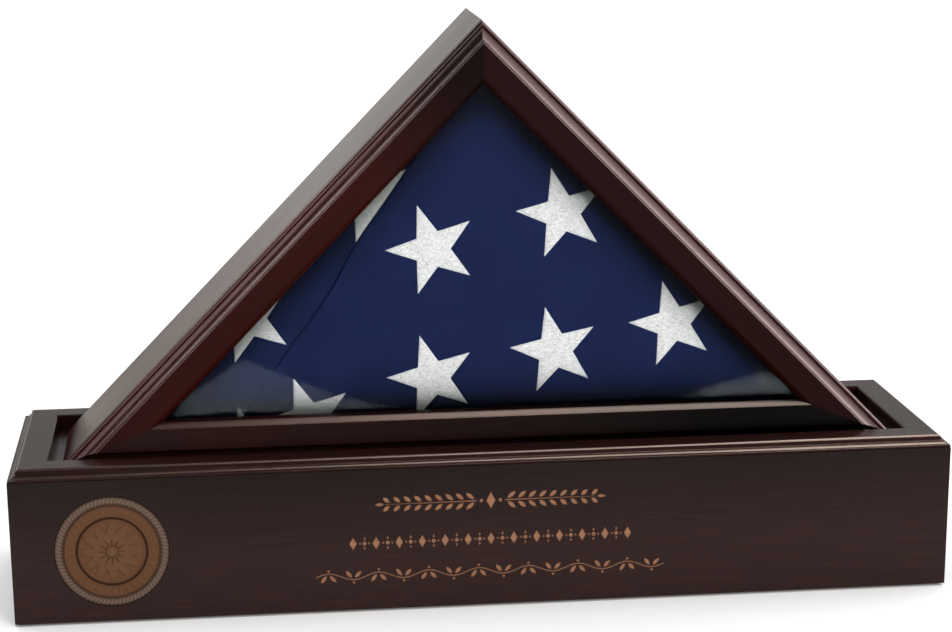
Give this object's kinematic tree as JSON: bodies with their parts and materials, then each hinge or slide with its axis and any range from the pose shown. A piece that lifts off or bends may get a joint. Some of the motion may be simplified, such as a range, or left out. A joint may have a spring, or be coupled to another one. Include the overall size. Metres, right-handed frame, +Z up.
{
  "type": "folded flag display case",
  "caption": "Triangular glazed wooden display case holding a folded flag, lifting out of a recess in a long moulded pedestal base with a round medallion.",
  "frame": {"origin": "centre of the base's outline, on the surface that its felt feet stand on", "axes": "+X along the base to the viewer's right, +Y from the front to the back, +Z up; the glass faces -Y"},
  "size_m": [0.74, 0.196, 0.4554],
  "materials": {
    "lacquered_wood": "satin",
    "bare_wood": "matte",
    "plywood": "matte",
    "felt": "matte",
    "medallion_wood": "satin",
    "brass": "satin",
    "steel": "satin",
    "flag_cloth": "matte",
    "glass": "gloss"
  },
  "bodies": {
    "base": {"base_front_board": "lacquered_wood", "base_right_board": "lacquered_wood", "base_back_board": "lacquered_wood", "base_left_board": "lacquered_wood", "rim_front_moulding": "lacquered_wood", "rim_right_moulding": "lacquered_wood", "rim_back_moulding": "lacquered_wood", "rim_left_moulding": "lacquered_wood", "recess_floor": "lacquered_wood", "floor_cleat_front": "bare_wood", "floor_cleat_back": "bare_wood", "floor_cleat_left": "bare_wood", "floor_cleat_right": "bare_wood", "corner_block_front_left": "bare_wood", "corner_block_front_right": "bare_wood", "corner_block_back_left": "bare_wood", "corner_block_back_right": "bare_wood", "bottom_panel": "plywood", "bottom_screw_front_left": "steel", "bottom_screw_front_middle": "steel", "bottom_screw_front_right": "steel", "bottom_screw_right_end": "steel", "bottom_screw_back_right": "steel", "bottom_screw_back_middle": "steel", "bottom_screw_back_left": "steel", "bottom_screw_left_end": "steel", "felt_foot_front_left": "felt", "felt_foot_front_right": "felt", "felt_foot_back_left": "felt", "felt_foot_back_right": "felt", "medallion": "medallion_wood"},
    "case": {"case_left_side": "lacquered_wood", "case_right_side": "lacquered_wood", "case_bottom_side": "lacquered_wood", "face_left_rail": "lacquered_wood", "face_right_rail": "lacquered_wood", "face_bottom_rail": "lacquered_wood", "glass_stop_left": "bare_wood", "glass_stop_right": "bare_wood", "glass_stop_bottom": "bare_wood", "glass_pane": "glass", "folded_flag": "flag_cloth", "case_pad_front_left": "felt", "case_pad_front_right": "felt", "case_pad_back_left": "felt", "case_pad_back_right": "felt", "button_screw_left_lower": "steel", "button_screw_left_upper": "steel", "button_screw_right_lower": "steel", "button_screw_right_upper": "steel"},
    "back_panel": {"back_panel": "plywood"},
    "turn_button_left_lower": {"turn_button_left_lower": "brass"},
    "turn_button_left_upper": {"turn_button_left_upper": "brass"},
    "turn_button_right_lower": {"turn_button_right_lower": "brass"},
    "turn_button_right_upper": {"turn_button_right_upper": "brass"}
  },
  "joints": [
    {"name": "case_lift", "type": "slide", "parent": "base", "child": "case", "axis": [0, 0, 1], "range_m": [0, 0.15]},
    {"name": "back_panel_pull", "type": "slide", "parent": "case", "child": "back_panel", "axis": [0, 1, 0], "range_m": [0, 0.08]},
    {"name": "turn_button_left_lower_swing", "type": "hinge", "parent": "case", "child": "turn_button_left_lower", "pos_m": [-0.22218, 0.0539, 0.22086], "axis": [0, 1, 0], "range_deg": [0, 90]},
    {"name": "turn_button_left_upper_swing", "type": "hinge", "parent": "case", "child": "turn_button_left_upper", "pos_m": [-0.08553, 0.0539, 0.35997], "axis": [0, 1, 0], "range_deg": [0, 90]},
    {"name": "turn_button_right_lower_swing", "type": "hinge", "parent": "case", "child": "turn_button_right_lower", "pos_m": [0.22618, 0.0539, 0.22086], "axis": [0, -1, 0], "range_deg": [0, 90]},
    {"name": "turn_button_right_upper_swing", "type": "hinge", "parent": "case", "child": "turn_button_right_upper", "pos_m": [0.08953, 0.0539, 0.35997], "axis": [0, -1, 0], "range_deg": [0, 90]}
  ]
}
